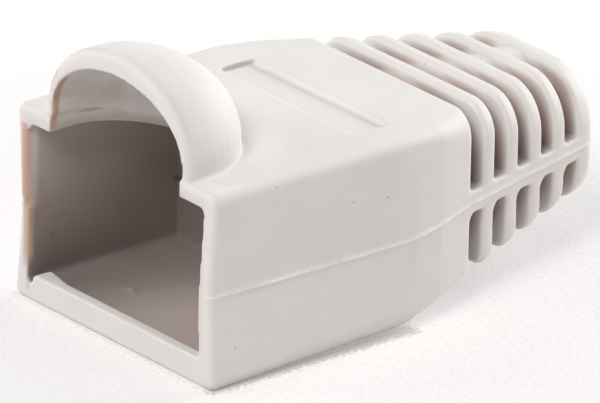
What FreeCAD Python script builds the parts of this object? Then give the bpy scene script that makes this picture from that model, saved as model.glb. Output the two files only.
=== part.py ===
"""Strain relief boot for an eight-way modular plug, moulded as one piece of soft PVC.

It is drawn with the mouth in the XZ plane: the plug goes in along +Y, the tail with its flex
slots is at the far end of +Y, and the flat underside lies on z = 0.  The finished solid is then
moved back by half its length, so that its origin is the middle of the footprint.
All lengths are in millimetres.
"""
import FreeCAD, Part
import math
import os
from FreeCAD import Matrix, Vector

# ---- driving dimensions ---------------------------------------------------------------------

# the body, which wraps the plug
BODY_HALF_WIDTH = 6.93       # at the top and bottom of the side walls
BODY_HEIGHT = 9.18
BODY_LENGTH = 10.75          # mouth to the crease where the plan starts to taper
PARTING_HEIGHT = 4.35        # where the two mould halves meet along the body
MOUTH_PINCH = 0.30           # how far the side walls draw in at the parting line
CREASE_PINCH = 0.14
TOP_CORNER_RADIUS = 0.40
BOTTOM_CORNER_RADIUS = 0.40
MOUTH_EDGE_RADIUS = 0.20

# the heel, where the flat underside ends
HEEL_LENGTH = 0.75           # from the crease
HEEL_INSET = 0.10            # narrower than the body by this much on each side
HEEL_CORNER_RADIUS = 1.30    # of the lower edges, which grow rounder from the mouth to the heel
HEEL_CLIMB = 0.07            # of the parting line

# the shoulder, which narrows to the tail
SHOULDER_LENGTH = 1.6        # from the heel
SHOULDER_INSET = 0.35
SHOULDER_BOTTOM = 0.52
SHOULDER_CLIMB = 0.23
SHOULDER_TOP_RADIUS = 0.62
SHOULDER_BOTTOM_RADIUS = 0.95
NECK_LENGTH = 2.2            # from the shoulder to the first slot

# the tail, which bends with the cable
TAIL_START_HALF_WIDTH = 5.96
TAIL_START_DROP = 0.08       # top of the tail below the roof
TAIL_START_BOTTOM = 1.29
TAIL_START_CLIMB = 0.45
TAIL_START_TOP_RADIUS = 1.25
TAIL_START_BOTTOM_RADIUS = 0.50
TAIL_END_HALF_WIDTH = 4.12
TAIL_END_DROP = 0.80
TAIL_END_BOTTOM = 2.32
TAIL_END_CLIMB = 0.69
TAIL_END_TOP_RADIUS = 2.75
TAIL_END_BOTTOM_RADIUS = 1.90
TAIL_END_ROUNDING = 0.55

# the ribs and the flex slots between them, above and below a spine on each side
SLOT_COUNT = 5
SLOT_PITCH = 1.65
SLOT_WIDTH = 0.86
END_RING_LENGTH = 1.24       # solid tail behind the last slot
RIB_EDGE_RADIUS = 0.18
SPINE_HEIGHT = 1.04
SPINE_PROUD = 0.02           # the spine stands out from the ribs by this much
SLOT_CORNER_RADIUS = 0.30
CORE_START_RADIUS = 3.40     # round core that the slots stop at
CORE_END_RADIUS = 3.05
CABLE_AXIS_HEIGHT = 5.31

# the cable bore: a funnel from the plug cavity to a plain cylinder in the tail end
BORE_RADIUS = 2.75
FUNNEL_RADIUS = 2.95         # of the bore where it leaves the cavity
BORE_STRAIGHT_LENGTH = 3.0

# the plug cavity
CAVITY_DEPTH = 8.5
FLOOR_THICKNESS = 0.82
ROOF_THICKNESS = 0.82
LEFT_WALL = 0.90
RIGHT_WALL = 0.82            # above the parting line, where it follows the outer wall
RIGHT_WALL_LOWER = 1.06      # below it, from the wall's full width
CAVITY_CORNER_RADIUS = 0.30
LEAD_IN_WIDTH = 0.30         # slanted edge inside the mouth on the left, above the parting line
LEAD_IN_DEPTH = 0.45

# the lip across the mouth's floor, which holds the plug in
LIP_HEIGHT = 0.48
LIP_DEPTH = 0.62
LIP_LEFT_DEPTH = 1.0         # the lip is thicker at its left end
LIP_FLARE = 1.8              # and takes this much of its length to thin out
LIP_LEFT_GAP = 0.30          # open notch between the left wall and the end of the lip
LIP_END_RADIUS = 0.28

# the hood, which guards the plug's latch
HOOD_HALF_WIDTH = 5.0
HOOD_LEG = 0.60              # upright part of each side, above the roof
HOOD_RISE = 3.74             # height of the arch above its legs
HOOD_STRAIGHT = 0.95         # the arch runs level for this far before the dome starts
HOOD_DOME_LENGTH = 4.5
HOOD_EDGE_RADIUS = 0.45
HOOD_SIDE_WALL = 0.50
HOOD_CROWN_WALL = 1.00
HOOD_BACK_WALL = 0.70
HOOD_INNER_LEG = 0.52
HOOD_INNER_STRAIGHT = 1.4
ROOF_OPENING_SHIFT = -0.14   # the opening below the hood sits a little to the left
ROOF_OPENING_EXTRA = 0.12    # and runs back this much further than the dome

# the shallow panel on the roof and the flash line along the parting line
PANEL_LEFT = 4.55            # from the middle
PANEL_RIGHT = 4.85
PANEL_FRONT = 9.45
PANEL_WIDTH = 1.97
PANEL_DEPTH = 0.24
PANEL_CORNER_RADIUS = 0.18
FLASH_PROUD = 0.05
FLASH_HEIGHT = 0.12

# construction allowances
CLEAR = 2.0                  # how far cutting tools run past the surfaces they cut
OVERLAP = 0.6                # how far solids sink into each other before they are fused
TRIM = 0.03                  # the outlines are drawn this much below the flat underside
TOLERANCE = 0.001            # for finding an edge by where it lies
EDGE_STEPS = 2               # flats that round off a mouth or rib edge
END_STEPS = 4                # and the edges of the hood and the tail's end
DOME_STEPS = 12              # flats along a quarter turn of the dome

# ---- places along the boot, worked out from the lengths above --------------------------------

HEEL = BODY_LENGTH + HEEL_LENGTH
SHOULDER = HEEL + SHOULDER_LENGTH
TAIL_START = SHOULDER + NECK_LENGTH
LAST_SLOT_END = TAIL_START + (SLOT_COUNT - 1) * SLOT_PITCH + SLOT_WIDTH
TOTAL_LENGTH = LAST_SLOT_END + END_RING_LENGTH


def at(x, y, z):
    return Vector(x, y, z)


def arc(start, middle, end):
    return Part.Arc(start, middle, end).toShape()


def line(start, end):
    return Part.LineSegment(start, end).toShape()


def box(x0, x1, y0, y1, z0, z1):
    return Part.makeBox(x1 - x0, y1 - y0, z1 - z0, at(x0, y0, z0))


def prism(corners, reach):
    """Solid with the given outline in a lengthwise plane, from one side of the boot to the other."""
    points = [at(-reach, y, z) for y, z in corners]
    return Part.Face(Part.makePolygon(points + points[:1])).extrude(at(2 * reach, 0, 0))


def blend(start, end, share):
    return start + (end - start) * share


# ---- outlines across the boot ---------------------------------------------------------------

def key_outlines():
    """One row for each place where the outer shape turns.

    place, half width, bottom, top, bottom radius, top radius, parting height, pinch
    """
    crease_radius = blend(BOTTOM_CORNER_RADIUS, HEEL_CORNER_RADIUS, BODY_LENGTH / HEEL)
    tail_start_top = BODY_HEIGHT - TAIL_START_DROP
    return [
        (0, BODY_HALF_WIDTH, -TRIM, BODY_HEIGHT,
         BOTTOM_CORNER_RADIUS, TOP_CORNER_RADIUS, PARTING_HEIGHT, MOUTH_PINCH),
        (BODY_LENGTH, BODY_HALF_WIDTH, -TRIM, BODY_HEIGHT,
         crease_radius, TOP_CORNER_RADIUS, PARTING_HEIGHT, CREASE_PINCH),
        (HEEL, BODY_HALF_WIDTH - HEEL_INSET, -TRIM, BODY_HEIGHT,
         HEEL_CORNER_RADIUS, TOP_CORNER_RADIUS, PARTING_HEIGHT + HEEL_CLIMB, 0),
        (SHOULDER, BODY_HALF_WIDTH - SHOULDER_INSET, SHOULDER_BOTTOM,
         (BODY_HEIGHT + tail_start_top) / 2,
         SHOULDER_BOTTOM_RADIUS, SHOULDER_TOP_RADIUS, PARTING_HEIGHT + SHOULDER_CLIMB, 0),
        (TAIL_START, TAIL_START_HALF_WIDTH, TAIL_START_BOTTOM, tail_start_top,
         TAIL_START_BOTTOM_RADIUS, TAIL_START_TOP_RADIUS, PARTING_HEIGHT + TAIL_START_CLIMB, 0),
        (TOTAL_LENGTH, TAIL_END_HALF_WIDTH, TAIL_END_BOTTOM, BODY_HEIGHT - TAIL_END_DROP,
         TAIL_END_BOTTOM_RADIUS, TAIL_END_TOP_RADIUS, PARTING_HEIGHT + TAIL_END_CLIMB, 0),
    ]


def outline_numbers(y):
    """The outline's measures at any place along the boot, between the key outlines."""
    rows = key_outlines()
    for before, after in zip(rows, rows[1:]):
        if y <= after[0] + TOLERANCE:
            share = (y - before[0]) / (after[0] - before[0])
            return [blend(a, b, share) for a, b in zip(before[1:], after[1:])]
    raise ValueError("no outline at " + str(y))


def parting_height(y):
    return outline_numbers(y)[5]


def outline(y, inset=0.0, proud=0.0):
    """Closed outline across the boot at y: rounded corners, sides drawn in at the parting line."""
    half_width, bottom, top, bottom_radius, top_radius, seam, pinch = outline_numbers(y)
    half_width += proud - inset
    bottom += inset
    top -= inset
    bottom_radius -= inset
    top_radius -= inset
    diagonal = math.sqrt(0.5)
    low_centre = at(half_width - bottom_radius, y, bottom + bottom_radius)
    high_centre = at(half_width - top_radius, y, top - top_radius)
    low_start = at(low_centre.x, y, bottom)
    low_middle = low_centre + at(bottom_radius * diagonal, 0, -bottom_radius * diagonal)
    low_end = at(half_width, y, low_centre.z)
    high_start = at(half_width, y, high_centre.z)
    high_middle = high_centre + at(top_radius * diagonal, 0, top_radius * diagonal)
    high_end = at(high_centre.x, y, top)
    parting = at(half_width - pinch, y, seam)
    right = [(low_start, low_middle, low_end), (low_end, None, parting),
             (parting, None, high_start), (high_start, high_middle, high_end)]
    left = []
    for start, middle, end in reversed(right):
        mirrored = at(-middle.x, y, middle.z) if middle else None
        left.append((at(-end.x, y, end.z), mirrored, at(-start.x, y, start.z)))
    across_top = (high_end, None, at(-high_end.x, y, top))
    across_bottom = (at(-low_start.x, y, bottom), None, low_start)
    edges = []
    for start, middle, end in right + [across_top] + left + [across_bottom]:
        edges.append(arc(start, middle, end) if middle else line(start, end))
    return Part.Wire(edges)


def rounding(radius, steps):
    """Steps from a full outline to its rounded end: (distance still to go, inset) pairs."""
    pairs = []
    for step in range(steps + 1):
        angle = math.pi / 2 * step / steps
        pairs.append((radius * (1 - math.sin(angle)), radius * (1 - math.cos(angle))))
    return pairs


def block(front, rear, front_radius, rear_radius, rear_steps=EDGE_STEPS):
    """Stretch of the outer shape between two places, with its ends' edges rounded off."""
    stations = [(front + back, inset) for back, inset in reversed(rounding(front_radius, EDGE_STEPS))]
    first_full = front + front_radius
    last_full = rear - rear_radius
    stations += [(row[0], 0) for row in key_outlines() if first_full < row[0] < last_full]
    stations += [(rear - back, inset) for back, inset in rounding(rear_radius, rear_steps)]
    return Part.makeLoft([outline(y, inset) for y, inset in stations], True, True)


# ---- outer shape ----------------------------------------------------------------------------

def shell():
    """Body and shoulder, from the mouth to the first slot."""
    return block(0, TAIL_START, MOUTH_EDGE_RADIUS, RIB_EDGE_RADIUS)


def slot_starts():
    return [TAIL_START + index * SLOT_PITCH for index in range(SLOT_COUNT)]


def ribs():
    """The ribs between the slots, and the ring that ends the tail."""
    made = []
    for start in slot_starts()[:-1]:
        made.append(block(start + SLOT_WIDTH, start + SLOT_PITCH, RIB_EDGE_RADIUS, RIB_EDGE_RADIUS))
    made.append(block(LAST_SLOT_END, TOTAL_LENGTH, RIB_EDGE_RADIUS, TAIL_END_ROUNDING, END_STEPS))
    return made


def along_parting(front, rear, low, high, proud):
    """Band of the outer shape between two heights above the parting line, standing proud."""
    places = [row[0] for row in key_outlines() if front < row[0] < rear]
    places = [front] + places + [rear]
    solid = Part.makeLoft([outline(y, 0, proud) for y in places], True, True)
    lower = [(y, parting_height(y) + low) for y in places]
    upper = [(y, parting_height(y) + high) for y in reversed(places)]
    return solid.common(prism(lower + upper, BODY_HALF_WIDTH + CLEAR))


def spine():
    """The bars that join the ribs, one on each side, with the round corner below each."""
    half = SPINE_HEIGHT / 2
    front = TAIL_START - OVERLAP
    rear = LAST_SLOT_END + OVERLAP
    bars = along_parting(front, rear, -half, half, SPINE_PROUD)
    reach = BODY_HALF_WIDTH + CLEAR
    below = along_parting(front, rear, -half - SLOT_CORNER_RADIUS, 0, 0)
    corners = []
    for start in slot_starts():
        level = parting_height(start) - half
        radius = SLOT_CORNER_RADIUS
        wedge = box(-reach, reach, start - radius, start + radius, level - radius, level + half / 2)
        relief = Part.makeCylinder(radius, 2 * reach, at(-reach, start + radius, level - radius),
                                   at(1, 0, 0))
        corners.append(below.common(wedge.cut(relief)))
    return bars.fuse(corners)


def parting_flash():
    """The fine raised line that the mould leaves along both sides."""
    half = FLASH_HEIGHT / 2
    return along_parting(MOUTH_EDGE_RADIUS, TOTAL_LENGTH - TAIL_END_ROUNDING, -half, half,
                         FLASH_PROUD)


def slot_core():
    """Round core inside the tail, which the slots stop at."""
    front = TAIL_START - OVERLAP
    length = LAST_SLOT_END + OVERLAP - front
    return Part.makeCone(CORE_START_RADIUS, CORE_END_RADIUS, length,
                         at(0, front, CABLE_AXIS_HEIGHT), at(0, 1, 0))


# ---- hood -----------------------------------------------------------------------------------

def hood_plan(run, corner=((0, 0),)):
    """Right-hand half of the hood seen from above: a level stretch, then a quarter of a disc.

    The corner is a list of (back, inset) pairs that round off the front.
    """
    points = [at(0, -run, 0)]
    points += [at(1 - inset, back - run, 0) for back, inset in reversed(corner)]
    for step in range(DOME_STEPS + 1):
        angle = math.pi / 2 * step / DOME_STEPS
        points.append(at(math.cos(angle), math.sin(angle), 0))
    return Part.Face(Part.makePolygon(points + points[:1]))


def both_halves(half):
    return half.fuse(half.mirror(at(0, 0, 0), at(1, 0, 0))).removeSplitter()


def hood_shape(half_width, dome_length, rise, straight, shoulder, foot, corner=((0, 0),)):
    """Arch on upright legs that ends in a dome.

    It is made round, by turning half its plan about the hood's axis, and then stretched.
    """
    drop = (shoulder - foot) / rise
    unit_corner = [(back / dome_length, inset / half_width) for back, inset in corner]
    plan = hood_plan(straight / dome_length, unit_corner)
    crown = plan.revolve(at(0, 0, 0), at(0, 1, 0), -180)
    legs = both_halves(plan.extrude(at(0, 0, -drop)))
    whole = crown.fuse(legs).removeSplitter()
    stretch = Matrix()
    stretch.scale(half_width, dome_length, rise)
    whole = whole.transformGeometry(stretch)
    whole.translate(at(0, straight, shoulder))
    return whole


def hood_outside():
    return hood_shape(HOOD_HALF_WIDTH, HOOD_DOME_LENGTH, HOOD_RISE, HOOD_STRAIGHT,
                      BODY_HEIGHT + HOOD_LEG, BODY_HEIGHT - OVERLAP,
                      rounding(HOOD_EDGE_RADIUS, END_STEPS))


def inner_dome_length():
    return HOOD_STRAIGHT + HOOD_DOME_LENGTH - HOOD_BACK_WALL - HOOD_INNER_STRAIGHT


def hood_hollow():
    rise = HOOD_LEG + HOOD_RISE - HOOD_CROWN_WALL - HOOD_INNER_LEG
    hollow = hood_shape(HOOD_HALF_WIDTH - HOOD_SIDE_WALL, inner_dome_length(), rise,
                        HOOD_INNER_STRAIGHT + CLEAR, BODY_HEIGHT + HOOD_INNER_LEG, BODY_HEIGHT)
    hollow.translate(at(0, -CLEAR, 0))
    return hollow


def roof_opening():
    """The way through the roof into the hood, cut by the cavity's own core."""
    low = BODY_HEIGHT - ROOF_THICKNESS - OVERLAP
    dome_length = inner_dome_length() + ROOF_OPENING_EXTRA
    plan = hood_plan((HOOD_INNER_STRAIGHT + CLEAR) / dome_length)
    way = both_halves(plan.extrude(at(0, 0, 1)))
    stretch = Matrix()
    stretch.scale(HOOD_HALF_WIDTH - HOOD_SIDE_WALL, dome_length, BODY_HEIGHT - low)
    way = way.transformGeometry(stretch)
    way.translate(at(ROOF_OPENING_SHIFT, HOOD_INNER_STRAIGHT, low))
    return way


# ---- hollows --------------------------------------------------------------------------------

def plug_cavity():
    """Space for the plug: its right-hand wall follows the outer one above the parting line."""
    left = LEFT_WALL - BODY_HALF_WIDTH
    roof = BODY_HEIGHT - ROOF_THICKNESS
    lower_right = BODY_HALF_WIDTH - RIGHT_WALL_LOWER
    corners = [at(left, -CLEAR, FLOOR_THICKNESS),
               at(lower_right, -CLEAR, FLOOR_THICKNESS),
               at(BODY_HALF_WIDTH - MOUTH_PINCH - RIGHT_WALL, -CLEAR, PARTING_HEIGHT),
               at(BODY_HALF_WIDTH - RIGHT_WALL, -CLEAR, roof),
               at(left, -CLEAR, roof)]
    face = Part.Face(Part.makePolygon(corners + corners[:1]))
    cavity = face.extrude(at(0, CAVITY_DEPTH + CLEAR, 0))
    rounded = []
    for edge in cavity.Edges:
        bound = edge.BoundBox
        lengthwise = bound.YLength > CAVITY_DEPTH
        if lengthwise and abs(bound.ZMin - PARTING_HEIGHT) > TOLERANCE:
            rounded.append(edge)
    return cavity.makeFillet(CAVITY_CORNER_RADIUS, rounded)


def mouth_lead_in():
    """Slanted widening of the left wall's upper half, just inside the mouth."""
    wall = LEFT_WALL - BODY_HALF_WIDTH
    corners = [at(wall, LEAD_IN_DEPTH, PARTING_HEIGHT),
               at(wall - LEAD_IN_WIDTH, 0, PARTING_HEIGHT),
               at(wall - LEAD_IN_WIDTH, -CLEAR, PARTING_HEIGHT),
               at(wall + OVERLAP, -CLEAR, PARTING_HEIGHT),
               at(wall + OVERLAP, LEAD_IN_DEPTH, PARTING_HEIGHT)]
    top = BODY_HEIGHT - ROOF_THICKNESS - CAVITY_CORNER_RADIUS
    face = Part.Face(Part.makePolygon(corners + corners[:1]))
    return face.extrude(at(0, 0, top - PARTING_HEIGHT))


def mouth_lip():
    """Low bar across the floor at the mouth, thicker at its left end, where it stops short."""
    left = LEFT_WALL - BODY_HALF_WIDTH + LIP_LEFT_GAP
    right = BODY_HALF_WIDTH - RIGHT_WALL_LOWER + OVERLAP
    low = FLOOR_THICKNESS - OVERLAP
    top = FLOOR_THICKNESS + LIP_HEIGHT
    corners = [at(left, 0, low), at(right, 0, low), at(right, LIP_DEPTH, low),
               at(left + LIP_FLARE, LIP_DEPTH, low), at(left, LIP_LEFT_DEPTH, low)]
    bar = Part.Face(Part.makePolygon(corners + corners[:1])).extrude(at(0, 0, top - low))
    end = [edge for edge in bar.Edges if edge.BoundBox.Center.isEqual(
        at(left, LIP_LEFT_DEPTH / 2, top), TOLERANCE)]
    return bar.makeFillet(LIP_END_RADIUS, end)


def cable_bore():
    backward = at(0, 1, 0)
    funnel_end = TOTAL_LENGTH - BORE_STRAIGHT_LENGTH
    start = at(0, CAVITY_DEPTH - OVERLAP, CABLE_AXIS_HEIGHT)
    funnel = Part.makeCone(FUNNEL_RADIUS, BORE_RADIUS, funnel_end - start.y, start, backward)
    straight = Part.makeCylinder(BORE_RADIUS, BORE_STRAIGHT_LENGTH + CLEAR,
                                 at(0, funnel_end, CABLE_AXIS_HEIGHT), backward)
    return funnel.fuse(straight)


def roof_panel():
    floor = BODY_HEIGHT - PANEL_DEPTH
    pocket = box(-PANEL_LEFT, PANEL_RIGHT, PANEL_FRONT, PANEL_FRONT + PANEL_WIDTH,
                 floor, BODY_HEIGHT + CLEAR)
    upright = [edge for edge in pocket.Edges if edge.BoundBox.ZLength > CLEAR]
    return pocket.makeFillet(PANEL_CORNER_RADIUS, upright)


def below_ground():
    reach = BODY_HALF_WIDTH + CLEAR
    return box(-reach, reach, -CLEAR, TOTAL_LENGTH, -CLEAR, 0)


# ---- the boot -------------------------------------------------------------------------------

def strain_relief_boot():
    boot = shell().fuse([slot_core(), spine(), parting_flash(), hood_outside()] + ribs())
    boot = boot.cut([plug_cavity(), mouth_lead_in(), roof_opening(), hood_hollow()])
    boot = boot.fuse(mouth_lip())
    boot = boot.cut([cable_bore(), roof_panel(), below_ground()])
    return boot.removeSplitter()


def main():
    os.makedirs("parts", exist_ok=True)
    boot = strain_relief_boot()
    boot.translate(at(0, -TOTAL_LENGTH / 2, 0))
    print("solids", len(boot.Solids), "volume", round(boot.Volume, 1), "mm3")
    boot.exportStep("parts/strain_relief_boot.step")


main()
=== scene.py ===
# %% [markdown]
# # A strain relief boot for a modular plug
#
# The object is one moulding of soft, off-white PVC: a box that slips over the plug, a domed hood
# that guards the plug's latch, and a slotted tail that bends with the cable.  One moulding means
# one piece here too.  Its shape comes from the construction model, and this lesson gives it what a
# moulding has and a drawing lacks: edges that are never quite sharp, a thread of flash along the
# parting line, small flecks and smudges, and a plastic that lets a little light into it.  Painted
# shade deepens its cavity, its slots and a few creases, a painted highlight brightens the flash, and
# a painted glow warms its thin edges.

import math

import bpy
from mathutils import Matrix, Vector


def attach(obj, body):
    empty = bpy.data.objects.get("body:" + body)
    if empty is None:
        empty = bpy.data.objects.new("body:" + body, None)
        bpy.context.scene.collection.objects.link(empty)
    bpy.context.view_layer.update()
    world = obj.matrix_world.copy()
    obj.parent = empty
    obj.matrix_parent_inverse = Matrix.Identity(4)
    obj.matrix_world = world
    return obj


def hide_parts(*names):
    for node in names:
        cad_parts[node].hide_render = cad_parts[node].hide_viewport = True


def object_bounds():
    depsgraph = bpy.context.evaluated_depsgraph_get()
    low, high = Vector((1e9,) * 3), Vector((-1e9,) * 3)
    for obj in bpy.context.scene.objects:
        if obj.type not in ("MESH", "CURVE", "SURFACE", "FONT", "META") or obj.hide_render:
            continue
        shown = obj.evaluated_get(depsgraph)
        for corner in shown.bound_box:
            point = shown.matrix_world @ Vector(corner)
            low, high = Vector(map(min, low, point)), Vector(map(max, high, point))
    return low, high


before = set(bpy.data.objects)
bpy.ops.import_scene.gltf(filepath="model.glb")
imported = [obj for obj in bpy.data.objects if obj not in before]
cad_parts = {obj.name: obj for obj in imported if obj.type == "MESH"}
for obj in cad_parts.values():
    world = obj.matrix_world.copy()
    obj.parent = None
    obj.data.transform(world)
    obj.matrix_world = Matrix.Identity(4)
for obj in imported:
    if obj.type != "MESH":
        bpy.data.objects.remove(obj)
cad_low, cad_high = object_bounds()

MM = 0.001
size = cad_high - cad_low
print("boot measures", [round(side / MM, 2) for side in size], "mm")


# %% Small helpers for selecting and finishing
def select_only(piece):
    """Makes one object the only selected one, and the active one."""
    bpy.ops.object.select_all(action="DESELECT")
    piece.select_set(True)
    bpy.context.view_layer.objects.active = piece


def finish_with(piece, kind, **settings):
    """Adds a modifier with the given settings and applies it at once."""
    modifier = piece.modifiers.new(kind.lower(), kind)
    for name, value in settings.items():
        setattr(modifier, name, value)
    select_only(piece)
    bpy.ops.object.modifier_apply(modifier=modifier.name)
    print(kind, "leaves", len(piece.data.polygons), "faces")


def from_mouth(x, y, z):
    """A place given in millimetres: across, back from the mouth, and up from the table."""
    return Vector((x * MM, cad_low.y + y * MM, z * MM))


# %% [markdown]
# ## The moulding
#
# The real boot comes out of its mould in one shot, so nothing is built up here from parts.  The
# solid is copied, and its loose triangles are joined at their points, because the steps that
# follow need one closed skin.

# %% Copy the solid and join its triangles
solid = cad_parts["strain_relief_boot"]
select_only(solid)
bpy.ops.object.duplicate()
boot = bpy.context.active_object
boot.name = "boot_moulding"
boot.data.materials.clear()
bpy.ops.object.mode_set(mode="EDIT")
bpy.ops.mesh.select_all(action="SELECT")
bpy.ops.mesh.remove_doubles(threshold=0.0001 * MM)
bpy.ops.object.mode_set(mode="OBJECT")
print("the copy has", len(boot.data.vertices), "points")

# %% [markdown]
# ## The pin's nub
#
# A pin in the mould left a low nub on the floor of the plug cavity.  A bump in the material would
# not catch the light at its rim, so it is a flattened ball, sunk to its middle into the floor.  The
# next step grows the two together.

# %% Set the nub on the cavity floor
CAVITY_FLOOR = 0.82          # millimetres above the table
NUB_HALF_SIZES = (0.30 * MM, 0.19 * MM, 0.13 * MM)
NUB_TURN = math.radians(-15)

bpy.ops.mesh.primitive_uv_sphere_add(segments=24, ring_count=12, radius=1,
                                     location=from_mouth(-2.6, 3.1, CAVITY_FLOOR))
nub = bpy.context.active_object
nub.scale = NUB_HALF_SIZES
nub.rotation_euler.z = NUB_TURN
boot.select_set(True)
bpy.context.view_layer.objects.active = boot
bpy.ops.object.join()
print("boot and nub have", len(boot.data.vertices), "points")

# %% [markdown]
# ## Soft edges
#
# A mould is cut with round tools and polished by hand, so every edge of a soft moulding is a small
# radius, and so is every inner corner.  A bevel would have to find its way round thousands of
# narrow triangles.  A voxel remesh followed by a few rounds of smoothing does the same job evenly:
# it turns the solid into a fine, even skin, and smoothing wears each edge down to a radius of one
# or two voxels.

# %% Give it an even skin and wear the edges
VOXEL = 0.08 * MM
WEAR_ROUNDS = 4

finish_with(boot, "REMESH", mode="VOXEL", voxel_size=VOXEL, use_smooth_shade=True)
finish_with(boot, "CORRECTIVE_SMOOTH", factor=0.5, iterations=WEAR_ROUNDS, smooth_type="SIMPLE",
            use_only_smooth=True)

# %% [markdown]
# ## The parting line
#
# The mould's two halves meet halfway up, and a thread of plastic creeps in between them.  The
# wearing took most of this line away, so it is raised again: the skin's points near the line join a
# vertex group, and a Displace modifier pushes them out by a few hundredths of a millimetre.  The
# group stays on the piece, because a painted highlight makes the thread a little paler.

# %% Find the points along the parting line
# distance from the mouth, half width of the boot there, height of the line
PARTING = [(0.0, 6.63, 4.35), (10.75, 6.79, 4.35), (11.5, 6.83, 4.42), (13.1, 6.58, 4.58),
           (15.3, 5.96, 4.80), (24.0, 4.12, 5.04)]
THREAD = "parting line"
THREAD_HALF = 0.10           # millimetres from its middle to where it ends
SIDE_BAND = 0.35             # points this close to the outside belong to the side


def along_parting(y):
    """Half width of the boot and height of the line at a distance from the mouth."""
    for front, rear in zip(PARTING, PARTING[1:]):
        if y <= rear[0]:
            share = (y - front[0]) / (rear[0] - front[0])
            return [a + (b - a) * share for a, b in zip(front[1:], rear[1:])]
    return PARTING[-1][1:]


lowest = PARTING[0][2] - THREAD_HALF
highest = PARTING[-1][2] + THREAD_HALF
thread = boot.vertex_groups.new(name=THREAD)
raised = 0
for vertex in boot.data.vertices:
    x, y, z = vertex.co / MM
    if lowest < z < highest:
        half_width, height = along_parting(y - cad_low.y / MM)
        away = abs(z - height) / THREAD_HALF
        if away < 1 and abs(x) > half_width - SIDE_BAND:
            thread.add([vertex.index], 1 - away, "REPLACE")
            raised += 1
print("the thread has", raised, "points")

# %% Raise them
THREAD_HEIGHT = 0.06 * MM

finish_with(boot, "DISPLACE", strength=THREAD_HEIGHT, mid_level=0, vertex_group=THREAD)

# %% [markdown]
# ## Fewer faces
#
# The voxels are so fine that the flat sides hold far more faces than they need.  A collapse takes
# faces away where the skin is flat and leaves them where it bends, so the worn edges stay round.
# The finished skin then takes the solid's place.

# %% Thin out the faces and put the piece in place
MOST_TRIANGLES = 196000

finish_with(boot, "DECIMATE", ratio=MOST_TRIANGLES / (2 * len(boot.data.polygons)))
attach(boot, "root")
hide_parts("strain_relief_boot")


# %% [markdown]
# ## The plastic
#
# Off-white PVC with a dull, fine-grained skin.  Light goes in a fraction of a millimetre before it
# comes out again, so edges look soft.  Its colour isn't even, though: it is cloudy outside, painted
# shade deepens it in the cavity and the slots, a painted highlight pales it along the flash, and a
# painted glow warms it where it is thin.  A picture wrapped round the boot would need seams,
# so the colour is mixed from the place on the surface instead, step by step, with a few nodes.

# %% Node helpers
BUMP_STRENGTH = 0.5


def add_node(tree, kind, **settings):
    node = tree.nodes.new(kind)
    for name, value in settings.items():
        setattr(node, name, value)
    return node


def feed(tree, socket, value):
    """Gives a socket a number, a colour or another node's output."""
    if isinstance(value, bpy.types.NodeSocket):
        tree.links.new(value, socket)
    else:
        socket.default_value = value


def calculate(tree, operation, first, second=0.0):
    node = add_node(tree, "ShaderNodeMath", operation=operation)
    feed(tree, node.inputs[0], first)
    feed(tree, node.inputs[1], second)
    return node.outputs["Value"]


def blend_colours(tree, share, first, second):
    node = add_node(tree, "ShaderNodeMix", data_type="RGBA")
    for name, value in (("Factor_Float", share), ("A_Color", first), ("B_Color", second)):
        feed(tree, next(s for s in node.inputs if s.identifier == name), value)
    return next(s for s in node.outputs if s.identifier == "Result_Color")


def remap(tree, value, low, high, to_low=0.0, to_high=1.0, easing="SMOOTHSTEP"):
    """Turns one range of numbers into another, and stays at its ends beyond them."""
    node = add_node(tree, "ShaderNodeMapRange", interpolation_type=easing)
    for name, number in (("Value", value), ("From Min", low), ("From Max", high),
                         ("To Min", to_low), ("To Max", to_high)):
        feed(tree, node.inputs[name], number)
    return node.outputs["Result"]


def noise(tree, place, grain, detail=2.0):
    """Random grain of the given size in millimetres."""
    node = add_node(tree, "ShaderNodeTexNoise")
    feed(tree, node.inputs["Vector"], place)
    feed(tree, node.inputs["Scale"], 1 / (grain * MM))
    feed(tree, node.inputs["Detail"], detail)
    return node.outputs["Fac"]


def roughen(tree, shader, height, depth):
    """A Bump node, with its depth in millimetres."""
    bump = add_node(tree, "ShaderNodeBump")
    feed(tree, bump.inputs["Strength"], BUMP_STRENGTH)
    feed(tree, bump.inputs["Distance"], depth * MM)
    feed(tree, bump.inputs["Height"], height)
    feed(tree, shader.inputs["Normal"], bump.outputs["Normal"])


# %% Find a place, in millimetres
def in_millimetres(tree, place):
    """Three numbers: how far across the place is, how far back from the mouth, and how far up."""
    shifted = add_node(tree, "ShaderNodeVectorMath", operation="SUBTRACT")
    feed(tree, shifted.inputs[0], place)
    feed(tree, shifted.inputs[1], from_mouth(0, 0, 0))
    scaled = add_node(tree, "ShaderNodeVectorMath", operation="SCALE")
    feed(tree, scaled.inputs[0], shifted.outputs["Vector"])
    feed(tree, scaled.inputs["Scale"], 1 / MM)
    axes = add_node(tree, "ShaderNodeSeparateXYZ")
    feed(tree, axes.inputs["Vector"], scaled.outputs["Vector"])
    return list(axes.outputs)


def within(tree, coordinate, low, low_full, high_full, high):
    """1 between the two full places along one axis, falling to 0 at the outer two."""
    rising = remap(tree, coordinate, low, low_full)
    falling = remap(tree, coordinate, high_full, high, 1.0, 0.0)
    return calculate(tree, "MULTIPLY", rising, falling)


def block(tree, axes, *ranges):
    """1 inside a block with soft edges: one range for each axis, as within() has."""
    share = 1.0
    for coordinate, limits in zip(axes, ranges):
        share = calculate(tree, "MULTIPLY", within(tree, coordinate, *limits), share)
    return share


# %% Start with the open skin
OPEN_TONE = (0.72, 0.695, 0.67, 1)
CLOUD_TONE = (0.60, 0.56, 0.53, 1)
CLOUD_SIZE = 2.2             # millimetres
CLOUD_EDGES = (0.35, 0.75)   # noise between these two goes from clear to cloudy
MOST_CLOUD = 0.12

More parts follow.
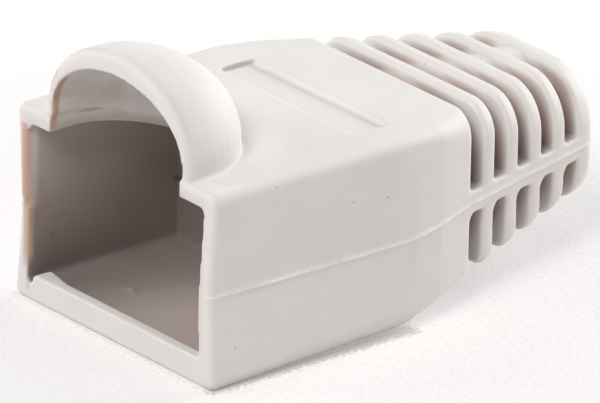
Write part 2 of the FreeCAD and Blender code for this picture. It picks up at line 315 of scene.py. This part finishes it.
plastic = bpy.data.materials.new("soft off-white pvc")
plastic.use_nodes = True
tree = plastic.node_tree
shader = tree.nodes["Principled BSDF"]
place = add_node(tree, "ShaderNodeTexCoord").outputs["Object"]
axes = in_millimetres(tree, place)
across, back, up = axes

cloudy = remap(tree, noise(tree, place, CLOUD_SIZE), *CLOUD_EDGES, 0.0, MOST_CLOUD)
tone = blend_colours(tree, cloudy, OPEN_TONE, CLOUD_TONE)
print("the open skin has", len(tree.nodes), "nodes")

# %% [markdown]
# ## Painted shade inside the cavity
#
# The plug cavity gets painted shade, so its walls are a good deal deeper in tone, most of all in
# the low corner on the left, with a lighter painted shade on the upper left and on the right.  A
# second material would end in a hard line.  Soft-edged blocks mark the cavity out instead and leave
# out the lip across its mouth, and ramps shade it from side to side, upwards and backwards.

# %% Mark out the cavity
BETWEEN_WALLS = (-6.45, -6.30, 6.05, 6.20)
FROM_THE_MOUTH = (-0.05, 0.10, 9.5, 10.0)
FLOOR_TO_ROOF = (0.40, 0.60, 8.50, 9.00)
CAVITY_BLOCKS = [
    # ranges across, back and up, in millimetres, each with the four places that within() takes:
    # above the lip, behind it, below its top, and beside its left end
    (BETWEEN_WALLS, FROM_THE_MOUTH, (1.45, 1.60, 8.50, 9.00)),
    (BETWEEN_WALLS, (1.00, 1.15, 9.5, 10.0), FLOOR_TO_ROOF),
    (BETWEEN_WALLS, (0.30, 0.50, 9.5, 10.0), (0.40, 0.60, 1.10, 1.25)),
    ((-6.20, -6.10, -5.92, -5.85), FROM_THE_MOUTH, FLOOR_TO_ROOF),
]

cavity = 0.0
for ranges in CAVITY_BLOCKS:
    cavity = calculate(tree, "MAXIMUM", block(tree, axes, *ranges), cavity)
print("the cavity is", len(CAVITY_BLOCKS), "blocks")

# %% Paint shade into the cavity
# painted shade: a middle tone, a lighter one on the upper left and the right, the deepest low on the
# left
CAVITY_PAINTED_SHADE = (0.42, 0.36, 0.33, 1)
LIGHTER_PAINTED_SHADE = (0.54, 0.49, 0.455, 1)
DEEPEST_PAINTED_SHADE = (0.23, 0.195, 0.18, 1)
DEEPEST_SHADE_AT_THE_BACK = 0.4       # what is left there of the deepest painted shade

on_left = remap(tree, across, -5.5, 1.5, 1.0, 0.0)
on_right = remap(tree, across, 4.5, 6.0)
low_down = remap(tree, up, 0.5, 6.0, 1.0, 0.0)
high_up = remap(tree, up, 4.0, 8.0)
in_front = remap(tree, back, 5.0, 8.5, 1.0, DEEPEST_SHADE_AT_THE_BACK)

high_left = calculate(tree, "MULTIPLY", on_left, high_up)
low_left = calculate(tree, "MULTIPLY", calculate(tree, "MULTIPLY", on_left, low_down), in_front)
inside = blend_colours(tree, high_left, CAVITY_PAINTED_SHADE, LIGHTER_PAINTED_SHADE)
inside = blend_colours(tree, on_right, inside, LIGHTER_PAINTED_SHADE)
inside = blend_colours(tree, low_left, inside, DEEPEST_PAINTED_SHADE)
# the cavity's painted shade takes the place of the open skin's colour
tone = blend_colours(tree, cavity, tone, inside)
print("with the cavity's shades it has", len(tree.nodes), "nodes")

# %% [markdown]
# ## Painted shade down in the slots
#
# The slots of the tail are deep and narrow, and painted shade darkens their walls towards the core.
# How deep a place lies is worked out from the tail's own form.  It is a box with round corners that
# narrows towards its end, so the fourth powers of the two distances from its middle, each as a share
# of the half size there, add up to about 1 at the skin and fall off quickly further in.

# %% Paint shade into the slots
# painted shade, deepest near the core
SLOT_PAINTED_SHADE = (0.50, 0.40, 0.37, 1)
TAIL_FRONT = 15.3            # millimetres from the mouth
TAIL_REAR = 24.0
TAIL_MIDDLE = 5.3            # height of the cable's axis
TAIL_HALF_WIDTHS = (5.96, 4.12)   # at the front and at the rear
TAIL_HALF_HEIGHTS = (3.85, 3.05)
SLOTTED = (15.2, 15.3, 22.9, 23.0)
FULLY_DEEP = 0.45            # sum of the fourth powers where the shade is full
NEAR_THE_SKIN = 0.90         # and where it has gone


def share_of_half(tree, away, back, halves):
    """Fourth power of a distance from the middle, as a share of the tail's half size there."""
    half = remap(tree, back, TAIL_FRONT, TAIL_REAR, *halves, easing="LINEAR")
    share = calculate(tree, "ABSOLUTE", calculate(tree, "DIVIDE", away, half))
    return calculate(tree, "POWER", share, 4.0)


above_axis = calculate(tree, "SUBTRACT", up, TAIL_MIDDLE)
outwards = calculate(tree, "ADD", share_of_half(tree, across, back, TAIL_HALF_WIDTHS),
                     share_of_half(tree, above_axis, back, TAIL_HALF_HEIGHTS))
slot_shade = remap(tree, outwards, FULLY_DEEP, NEAR_THE_SKIN, 1.0, 0.0)
slot_shade = calculate(tree, "MULTIPLY", slot_shade, within(tree, back, *SLOTTED))
tone = blend_colours(tree, slot_shade, tone, SLOT_PAINTED_SHADE)
print("with the slots' shade it has", len(tree.nodes), "nodes")

# %% [markdown]
# ## Painted highlight on the flash, painted glow in thin places
#
# The thread along the parting line is so thin that it catches the light in stretches that come and
# go, so it gets a painted highlight: a paler tone.  Its vertex group says where it is.  Where the
# left wall and the hood's left leg run out to a thin edge at the mouth, light comes through the
# plastic and warms it.  True scattering that far would soften every other edge as well, so three
# bands get a warm tone of painted glow.

# %% Painted highlight along the parting line
# a painted highlight: paler where the thread catches the light
FLASH_PAINTED_HIGHLIGHT = (0.86, 0.84, 0.82, 1)
THREAD_FLANK = (0.3, 0.8)    # the group's weight where the flash starts and where it is full
STRETCH = 0.5                # millimetres, length of its dull and bright stretches
STRETCH_EDGES = (0.4, 0.6)   # noise between these two goes from dull to bright
DULL_AND_BRIGHT = (0.2, 0.9)

on_thread = add_node(tree, "ShaderNodeAttribute", attribute_name=THREAD).outputs["Fac"]
stretches = remap(tree, noise(tree, place, STRETCH), *STRETCH_EDGES, *DULL_AND_BRIGHT)
flash = calculate(tree, "MULTIPLY", remap(tree, on_thread, *THREAD_FLANK), stretches)
tone = blend_colours(tree, flash, tone, FLASH_PAINTED_HIGHLIGHT)
print("with the flash it has", len(tree.nodes), "nodes")

# %% Painted glow where the plastic is thin
# painted glow: light through the thin plastic, painted as a warm tone
PAINTED_GLOW_TONE = (0.57, 0.40, 0.325, 1)
PAINTED_GLOW_BANDS = [
    # ranges like the cavity's: the left wall above and below the parting line, and the hood's leg
    ((-6.68, -6.45, -6.25, -6.05), (-0.2, -0.1, 0.25, 0.50), (4.7, 4.8, 8.2, 8.4)),
    ((-6.45, -6.20, -5.95, -5.90), (-0.2, -0.1, 0.15, 0.45), (1.5, 2.3, 4.7, 4.8)),
    ((-5.00, -4.70, -3.90, -3.50), (0.02, 0.10, 0.30, 0.50), (8.4, 8.7, 11.0, 11.8)),
]

for ranges in PAINTED_GLOW_BANDS:
    tone = blend_colours(tree, block(tree, axes, *ranges), tone, PAINTED_GLOW_TONE)
print("warmed", len(PAINTED_GLOW_BANDS), "bands")

# %% [markdown]
# ## Flecks, smudges and painted shade
#
# A moulding has specks of burnt plastic in it and picks up smudges, each in its own place.  Two
# marks
# here are painted shade instead: a streak along a crease inside the hood, and a dark edge along the
# roof panel's left end.  Random noise would scatter them evenly, so the few that matter are listed
# one by one.  Each is a soft-edged ellipsoid of stain or shade that the surface cuts through.

# %% Stain the flecks and paint two streaks of shade
# one dark colour, for the stains and for the painted shade
STAIN_AND_PAINTED_SHADE = (0.20, 0.165, 0.14, 1)
MARK_CORE = 0.5             # full stain or shade inside this share of the half size
MARK_EDGE = 1.3             # and none outside this one
FLECKS_AND_SHADE_STREAKS = [
    # middle from the mouth, half sizes in millimetres, strength of the stain or shade
    # specks on the right side
    ((6.86, 7.80, 7.01), (0.3, 0.055, 0.06), 0.55),
    ((6.86, 8.30, 7.42), (0.3, 0.05, 0.05), 0.35),
    ((6.86, 9.74, 6.77), (0.3, 0.065, 0.05), 0.55),
    ((6.86, 6.55, 6.89), (0.3, 0.05, 0.05), 0.25),
    ((6.90, 3.40, 8.84), (0.3, 0.05, 0.05), 0.45),
    ((6.86, 1.31, 1.79), (0.3, 0.06, 0.06), 0.45),
    ((6.86, 7.17, 4.39), (0.3, 0.06, 0.04), 0.45),
    ((6.60, 12.44, 8.40), (0.3, 0.05, 0.05), 0.25),
    # marks on the cavity's left wall
    ((-6.03, 1.38, 2.78), (0.3, 0.20, 0.10), 0.60),
    ((-6.03, 1.55, 3.02), (0.3, 0.08, 0.14), 0.45),
    ((-6.03, 8.45, 3.70), (0.3, 0.28, 0.16), 0.80),
    ((-6.03, 1.77, 3.58), (0.3, 0.45, 0.09), 0.25),
    # painted shade along a crease inside the hood, then three dark smudges there
    ((-4.40, 2.10, 9.00), (0.4, 0.75, 0.09), 0.40),
    ((-3.90, 2.95, 9.80), (0.6, 0.60, 0.50), 0.10),
    ((-3.82, 3.09, 10.25), (0.5, 0.30, 0.28), 0.12),
    ((-3.96, 3.23, 8.80), (0.4, 0.60, 0.20), 0.12),
    # a speck on the second rib, and painted shade along the roof panel's left end
    ((-0.39, 17.77, 8.95), (0.12, 0.12, 0.30), 0.30),
    ((-4.55, 10.45, 9.02), (0.12, 1.10, 0.17), 0.50),
]


def fleck(tree, place, middle, half_sizes, strength):
    """The fleck's strength at its middle, falling to 0 outside it."""
    centred = add_node(tree, "ShaderNodeMapping", vector_type="TEXTURE")
    feed(tree, centred.inputs["Vector"], place)
    feed(tree, centred.inputs["Location"], from_mouth(*middle))
    feed(tree, centred.inputs["Scale"], [half * MM for half in half_sizes])
    away = add_node(tree, "ShaderNodeVectorMath", operation="LENGTH")
    feed(tree, away.inputs[0], centred.outputs["Vector"])
    return remap(tree, away.outputs["Value"], MARK_CORE, MARK_EDGE, strength, 0.0)


for middle, half_sizes, strength in FLECKS_AND_SHADE_STREAKS:
    tone = blend_colours(tree, fleck(tree, place, middle, half_sizes, strength), tone, STAIN_AND_PAINTED_SHADE)
print("stained", len(FLECKS_AND_SHADE_STREAKS), "flecks")

# %% [markdown]
# ## The skin itself
#
# Soft PVC comes out of its mould dull, with a grain too fine to model.  A Bump node gives it that
# grain, and a rough, weak reflection makes it dull.  The light that goes in is subsurface
# scattering: half of the plastic's colour, with a short reach that is the same for all three
# colours, so that edges turn soft without turning red.

# %% Finish the plastic
GRAIN = 0.12                 # millimetres
GRAIN_DEPTH = 0.016
SCATTER_REACH = 0.15

feed(tree, shader.inputs["Base Color"], tone)
shader.inputs["Roughness"].default_value = 0.62
shader.inputs["Specular IOR Level"].default_value = 0.25
shader.inputs["Subsurface Weight"].default_value = 0.5
shader.inputs["Subsurface Radius"].default_value = (1.0, 1.0, 1.0)
shader.inputs["Subsurface Scale"].default_value = SCATTER_REACH * MM
roughen(tree, shader, noise(tree, place, GRAIN, 4.0), GRAIN_DEPTH)
boot.data.materials.append(plastic)
print(plastic.name, "has", len(tree.nodes), "nodes")

# %% [markdown]
# ## The table
#
# A pale, slightly fuzzy cloth.  Close to the boot it takes the boot's shadow, and a painted shadow
# darkens it along the edge of the base, where little light gets in.  Single hairs would be a
# great many for a texture this faint, so one fine noise gives both its colour and its bump.

# %% Lay the cloth
CLOTH_TONE = (0.93, 0.89, 0.88, 1)
CLOTH_SHADE = (0.80, 0.75, 0.735, 1)
CLOTH_SIDE = 1.6
FUZZ = 0.22                  # millimetres
FUZZ_DEPTH = 0.04
FUZZ_EDGES = (0.3, 0.7)      # noise between these two goes from shade to light

bpy.ops.mesh.primitive_plane_add(size=CLOTH_SIDE, location=(0, 0, 0))
cloth = bpy.context.active_object
cloth.name = "pale_cloth"

fabric = bpy.data.materials.new("pale cloth")
fabric.use_nodes = True
tree = fabric.node_tree
shader = tree.nodes["Principled BSDF"]
place = add_node(tree, "ShaderNodeTexCoord").outputs["Object"]
fuzz = noise(tree, place, FUZZ, 5.0)
tone = blend_colours(tree, remap(tree, fuzz, *FUZZ_EDGES), CLOTH_SHADE, CLOTH_TONE)
shader.inputs["Roughness"].default_value = 1.0
shader.inputs["Specular IOR Level"].default_value = 0.0
roughen(tree, shader, fuzz, FUZZ_DEPTH)
cloth.data.materials.append(fabric)
print(cloth.name, "is", CLOTH_SIDE, "m wide")

# %% Paint a shadow along the edge of the base
# painted contact shadow: a ragged dark band beside the base, darkest on the right
CONTACT_SHADOW_TONE = (0.42, 0.34, 0.31, 1)
CONTACT_WIDTH = 0.45         # millimetres
BASE_LENGTH = 11.5           # the flat part of the underside
EDGE_SHIFT = (-0.08, 0.20)   # how far the fuzz moves the painted shadow's edge
SHADOW_IN_FRONT = 0.20               # share of the painted shadow along the front edge
SHADOW_ON_THE_RIGHT = 0.65         # and along the right side, where it is darkest
RIGHT_EDGE = 1.0             # millimetres over which it goes from one to the other

across, back = in_millimetres(tree, place)[:2]
half_width = cad_high.x / MM
beside = calculate(tree, "SUBTRACT", calculate(tree, "ABSOLUTE", across), half_width)
before = calculate(tree, "SUBTRACT", 0.0, back)
behind = calculate(tree, "SUBTRACT", back, BASE_LENGTH)
gap = calculate(tree, "MAXIMUM", calculate(tree, "MAXIMUM", beside, before), behind)
ragged = calculate(tree, "ADD", gap, remap(tree, fuzz, *FUZZ_EDGES, *EDGE_SHIFT))
share = remap(tree, across, half_width - RIGHT_EDGE, half_width, SHADOW_IN_FRONT, SHADOW_ON_THE_RIGHT)
contact_shadow = calculate(tree, "MULTIPLY", share, remap(tree, ragged, 0.0, CONTACT_WIDTH, 1.0, 0.0))
feed(tree, shader.inputs["Base Color"], blend_colours(tree, contact_shadow, tone, CONTACT_SHADOW_TONE))
print("the base presses on", BASE_LENGTH, "mm of cloth")

# %% [markdown]
# ## A white surround
#
# Further out the cloth runs into plain white, as a studio sweep does, and the room behind it is
# white as well.  More light would do that too, but it would bleach the boot.  So the white is added
# only for rays that show the surround itself, and the light that falls on the boot stays as it is.

# %% Pick the rays that show the surround
def shown_plainly(tree):
    """1 for a ray to the camera, in a mirror or through glass, and 0 for the light it casts."""
    rays = add_node(tree, "ShaderNodeLightPath").outputs
    mirrored = calculate(tree, "MAXIMUM", rays["Is Glossy Ray"], rays["Is Transmission Ray"])
    return calculate(tree, "MAXIMUM", rays["Is Camera Ray"], mirrored)


# %% Let the cloth run into white
NEAR_WHITE = 0.5             # share of plain white close to the boot
WHITE_FROM = 14 * MM
WHITE_AT = 32 * MM

white = add_node(tree, "ShaderNodeEmission")
feed(tree, white.inputs["Strength"], 1.0)
reach = add_node(tree, "ShaderNodeVectorMath", operation="LENGTH")
feed(tree, reach.inputs[0], place)
far = remap(tree, reach.outputs["Value"], WHITE_FROM, WHITE_AT, NEAR_WHITE, 1.0)
# less plain white where the painted shadow lies
share = calculate(tree, "MULTIPLY", far, calculate(tree, "SUBTRACT", 1.0, contact_shadow))
share = calculate(tree, "MULTIPLY", share, shown_plainly(tree))
both = add_node(tree, "ShaderNodeMixShader")
feed(tree, both.inputs["Fac"], share)
feed(tree, both.inputs[1], shader.outputs["BSDF"])
feed(tree, both.inputs[2], white.outputs["Emission"])
feed(tree, tree.nodes["Material Output"].inputs["Surface"], both.outputs["Shader"])
print("the cloth is plain white from", round(WHITE_AT / MM), "mm out")

# %% Make the room white to look at, and dim
ROOM_LIGHT = 0.04

world = bpy.data.worlds.new("dim room")
bpy.context.scene.world = world
world.use_nodes = True
tree = world.node_tree
backdrop = tree.nodes["Background"]
feed(tree, backdrop.inputs["Color"], (1, 1, 1, 1))
feed(tree, backdrop.inputs["Strength"],
     remap(tree, shown_plainly(tree), 0.0, 1.0, ROOM_LIGHT, 1.0))
print("the room gives", ROOM_LIGHT, "of its white as light")

# %% [markdown]
# ## The light
#
# Soft panels stand round the table, as in a light tent.  The strongest is a low one behind the
# boot, and a high one in front keeps the mouth from going dull.  No low panel stands where the
# camera does, so the plug cavity stays dark.

# %% Set up the panels
PANEL_DISTANCE = 0.6
PANEL_WIDTH = 0.3


def heading(turn, climb):
    """Direction from the boot: turn is measured from the front, towards the right."""
    turn = math.radians(turn)
    climb = math.radians(climb)
    return Vector((math.cos(climb) * math.sin(turn), -math.cos(climb) * math.cos(turn),
                   math.sin(climb)))


def soft_panel(name, turn, climb, power):
    lamp = bpy.data.lights.new(name, "AREA")
    lamp.shape = "DISK"
    lamp.size = PANEL_WIDTH
    lamp.energy = power
    holder = bpy.data.objects.new(name, lamp)
    bpy.context.scene.collection.objects.link(holder)
    direction = heading(turn, climb)
    holder.location = direction * PANEL_DISTANCE
    holder.rotation_euler = (-direction).to_track_quat("-Z", "Y").to_euler()
    print(name, "gives", power, "W")


soft_panel("high front panel", 22, 50, 2.35)
soft_panel("back panel", 180, 20, 3.4)
soft_panel("front left panel", 315, 20, 1.25)
soft_panel("high left panel", 270, 50, 0.6)
soft_panel("right panel", 110, 20, 0.70)

# %% [markdown]
# ## The camera
#
# A camera close to so small an object would spread its near corner wide.  So it stands well away,
# with a lens long enough to fill the picture.  Its directions across and up come from the line of
# sight, and a slight roll turns both about that line.

# %% Set the camera
CAMERA_TURN = 50.25
CAMERA_CLIMB = 22.7
CAMERA_ROLL = math.radians(1.24)
CAMERA_DISTANCE = 0.6
LENS = 821.3                 # millimetres, on a sensor 36 mm wide
AIM_SHARES = (0.627, 0.375, 0.373)   # of the boot's size, from its low corner

aim = cad_low + Vector([side * share for side, share in zip(size, AIM_SHARES)])
towards = heading(CAMERA_TURN, CAMERA_CLIMB)
level = Vector((0, 0, 1)).cross(towards).normalized()
upright = towards.cross(level)
right = level * math.cos(CAMERA_ROLL) + upright * math.sin(CAMERA_ROLL)
top = upright * math.cos(CAMERA_ROLL) - level * math.sin(CAMERA_ROLL)
camera_data = bpy.data.cameras.new("camera")
camera_data.sensor_width = 36
camera_data.lens = LENS
camera_data.clip_start = 0.01
camera_data.clip_end = 10
camera = bpy.data.objects.new("camera", camera_data)
bpy.context.scene.collection.objects.link(camera)
camera.matrix_world = Matrix.Translation(aim + towards * CAMERA_DISTANCE) @ Matrix(
    (right, top, towards)).transposed().to_4x4()
bpy.context.scene.camera = camera
bpy.context.scene.view_settings.view_transform = "Standard"
print("the camera stands", CAMERA_DISTANCE, "m away")
